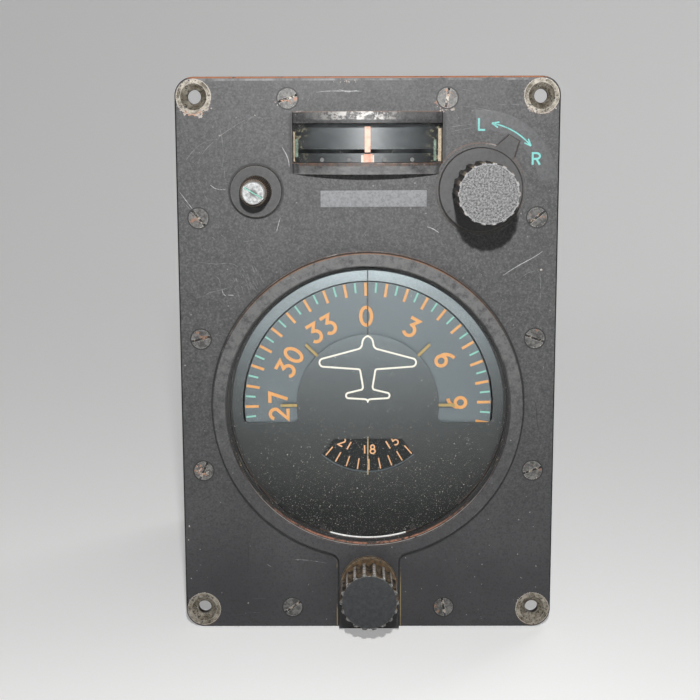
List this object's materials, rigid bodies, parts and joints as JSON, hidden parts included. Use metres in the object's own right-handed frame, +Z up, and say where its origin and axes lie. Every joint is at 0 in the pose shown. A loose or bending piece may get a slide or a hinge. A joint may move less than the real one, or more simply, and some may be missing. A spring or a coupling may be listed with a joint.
{
  "type": "directional gyro",
  "caption": "Panel-mounted aircraft directional gyro: round azimuth card, rudder indicator window, trim, adjuster and caging knobs, gimballed rotor in a deep case.",
  "frame": {"origin": "centre of the four panel mounting holes, on the panel's back face", "axes": "+X to the right as the dial is read, +Y from the dial back through the panel, +Z up"},
  "size_m": [0.1334, 0.2271, 0.1984],
  "materials": {
    "black_enamel": "satin black enamel, scratched and chipped",
    "case_enamel": "wrinkled black enamel",
    "bare_steel": "bare, dulled",
    "bright_steel": "bright",
    "brass": "bare brass",
    "aluminium": "machined",
    "copper": "copper wire",
    "clear_glass": "clear",
    "seal_rubber": "matte",
    "dial_black": "matte black, printed",
    "index_ochre": "matte ochre",
    "pointer_orange": "matte orange",
    "knob_black": "black, worn at the ribs",
    "insert_black": "moulded"
  },
  "bodies": {
    "frame": {"front_panel": "black_enamel", "corner_bushings": "bare_steel", "panel_screws": "bare_steel", "dial_glass": "clear_glass", "glass_gasket": "seal_rubber", "glass_retaining_ring": "brass", "mask_plate": "dial_black", "index_bars": "index_ochre", "lubber_wires": "index_ochre", "window_glass": "clear_glass", "window_scale": "dial_black", "meter_frame": "aluminium", "meter_magnet": "bare_steel", "potentiometers": "insert_black", "adjuster_flange": "black_enamel", "caging_bushing": "brass", "bearing_plate": "aluminium", "standoffs": "aluminium", "card_bearings": "bright_steel", "housing": "case_enamel", "housing_gasket": "seal_rubber", "rear_cover": "case_enamel", "rear_screws": "bare_steel", "connector_shell": "aluminium", "connector_insert": "insert_black", "connector_pins": "brass", "lower_bracket": "aluminium", "upper_bracket": "aluminium", "gimbal_bearings": "bright_steel", "lever_pin": "bright_steel"},
    "card": {"azimuth_card": "dial_black", "card_shaft": "bright_steel", "card_gear": "brass", "card_bevel_gear": "brass"},
    "idler": {"idler_gear": "brass"},
    "outer_gimbal": {"outer_gimbal": "aluminium", "gimbal_bevel_gear": "brass", "slip_rings": "copper", "inner_bearings": "bright_steel"},
    "inner_gimbal": {"inner_gimbal": "aluminium", "inner_gimbal_cover": "aluminium", "inner_pivots": "bright_steel", "rotor_bearings": "bright_steel"},
    "rotor": {"gyro_rotor": "brass", "rotor_shaft": "bright_steel"},
    "rudder_pointer": {"rudder_pointer": "pointer_orange", "pointer_coil": "copper"},
    "trim_knob": {"trim_knob": "knob_black", "trim_skirt": "knob_black", "trim_pointer_plate": "black_enamel", "trim_shaft": "bright_steel"},
    "adjuster": {"adjuster_knob": "knob_black", "adjuster_cap": "bright_steel", "adjuster_shaft": "bright_steel"},
    "caging_sleeve": {"caging_sleeve": "brass"},
    "caging_knob": {"caging_knob": "knob_black", "caging_shaft": "bright_steel"},
    "caging_lever": {"caging_lever": "bright_steel"},
    "caging_pin": {"caging_pin": "bright_steel"}
  },
  "joints": [
    {"name": "gimbal_turn", "type": "hinge", "parent": "frame", "child": "outer_gimbal", "pos_m": [0, 0.11, 0.0372], "axis": [0, 0, 1], "continuous": true},
    {"name": "card_turn", "type": "hinge", "parent": "frame", "child": "card", "pos_m": [0, 0, -0.0166], "axis": [0, 1, 0], "continuous": true},
    {"name": "idler_turn", "type": "hinge", "parent": "frame", "child": "idler", "pos_m": [0.00404, 0.016, -0.05841], "axis": [0, 1, 0], "continuous": true},
    {"name": "inner_tilt", "type": "hinge", "parent": "outer_gimbal", "child": "inner_gimbal", "pos_m": [0, 0.11, 0.0372], "axis": [1, 0, 0], "range_deg": [-55, 55]},
    {"name": "rotor_spin", "type": "hinge", "parent": "inner_gimbal", "child": "rotor", "pos_m": [0, 0.11, 0.0372], "axis": [0, 1, 0], "continuous": true},
    {"name": "pointer_swing", "type": "hinge", "parent": "frame", "child": "rudder_pointer", "pos_m": [0, 0.05418, 0.0765], "axis": [0, 0, 1], "range_deg": [-20, 20]},
    {"name": "trim_turn", "type": "hinge", "parent": "frame", "child": "trim_knob", "pos_m": [0.0391, -0.005, 0.0604], "axis": [0, 1, 0], "range_deg": [-30, 30]},
    {"name": "adjuster_turn", "type": "hinge", "parent": "frame", "child": "adjuster", "pos_m": [-0.0389, -0.005, 0.05995], "axis": [0, 1, 0], "range_deg": [-150, 150]},
    {"name": "caging_push", "type": "slide", "parent": "frame", "child": "caging_sleeve", "axis": [0, 1, 0], "range_m": [0, 0.006]},
    {"name": "caging_spin", "type": "hinge", "parent": "caging_sleeve", "child": "caging_knob", "pos_m": [0.0003, -0.005, -0.0811], "axis": [0, 1, 0], "continuous": true},
    {"name": "lever_swing", "type": "hinge", "parent": "frame", "child": "caging_lever", "pos_m": [0.0003, 0.0713, -0.05], "axis": [1, 0, 0], "range_deg": [0, 11.05]},
    {"name": "pin_lift", "type": "slide", "parent": "frame", "child": "caging_pin", "axis": [0, 0, 1], "range_m": [0, 0.00747]}
  ],
  "couplings": [
    {"joint": "card_turn", "follows": "gimbal_turn", "ratio": 1},
    {"joint": "idler_turn", "follows": "gimbal_turn", "ratio": -1.3333},
    {"joint": "lever_swing", "follows": "caging_push", "rad_per_m": 32.154},
    {"joint": "pin_lift", "follows": "caging_push", "ratio": 1.2444}
  ]
}
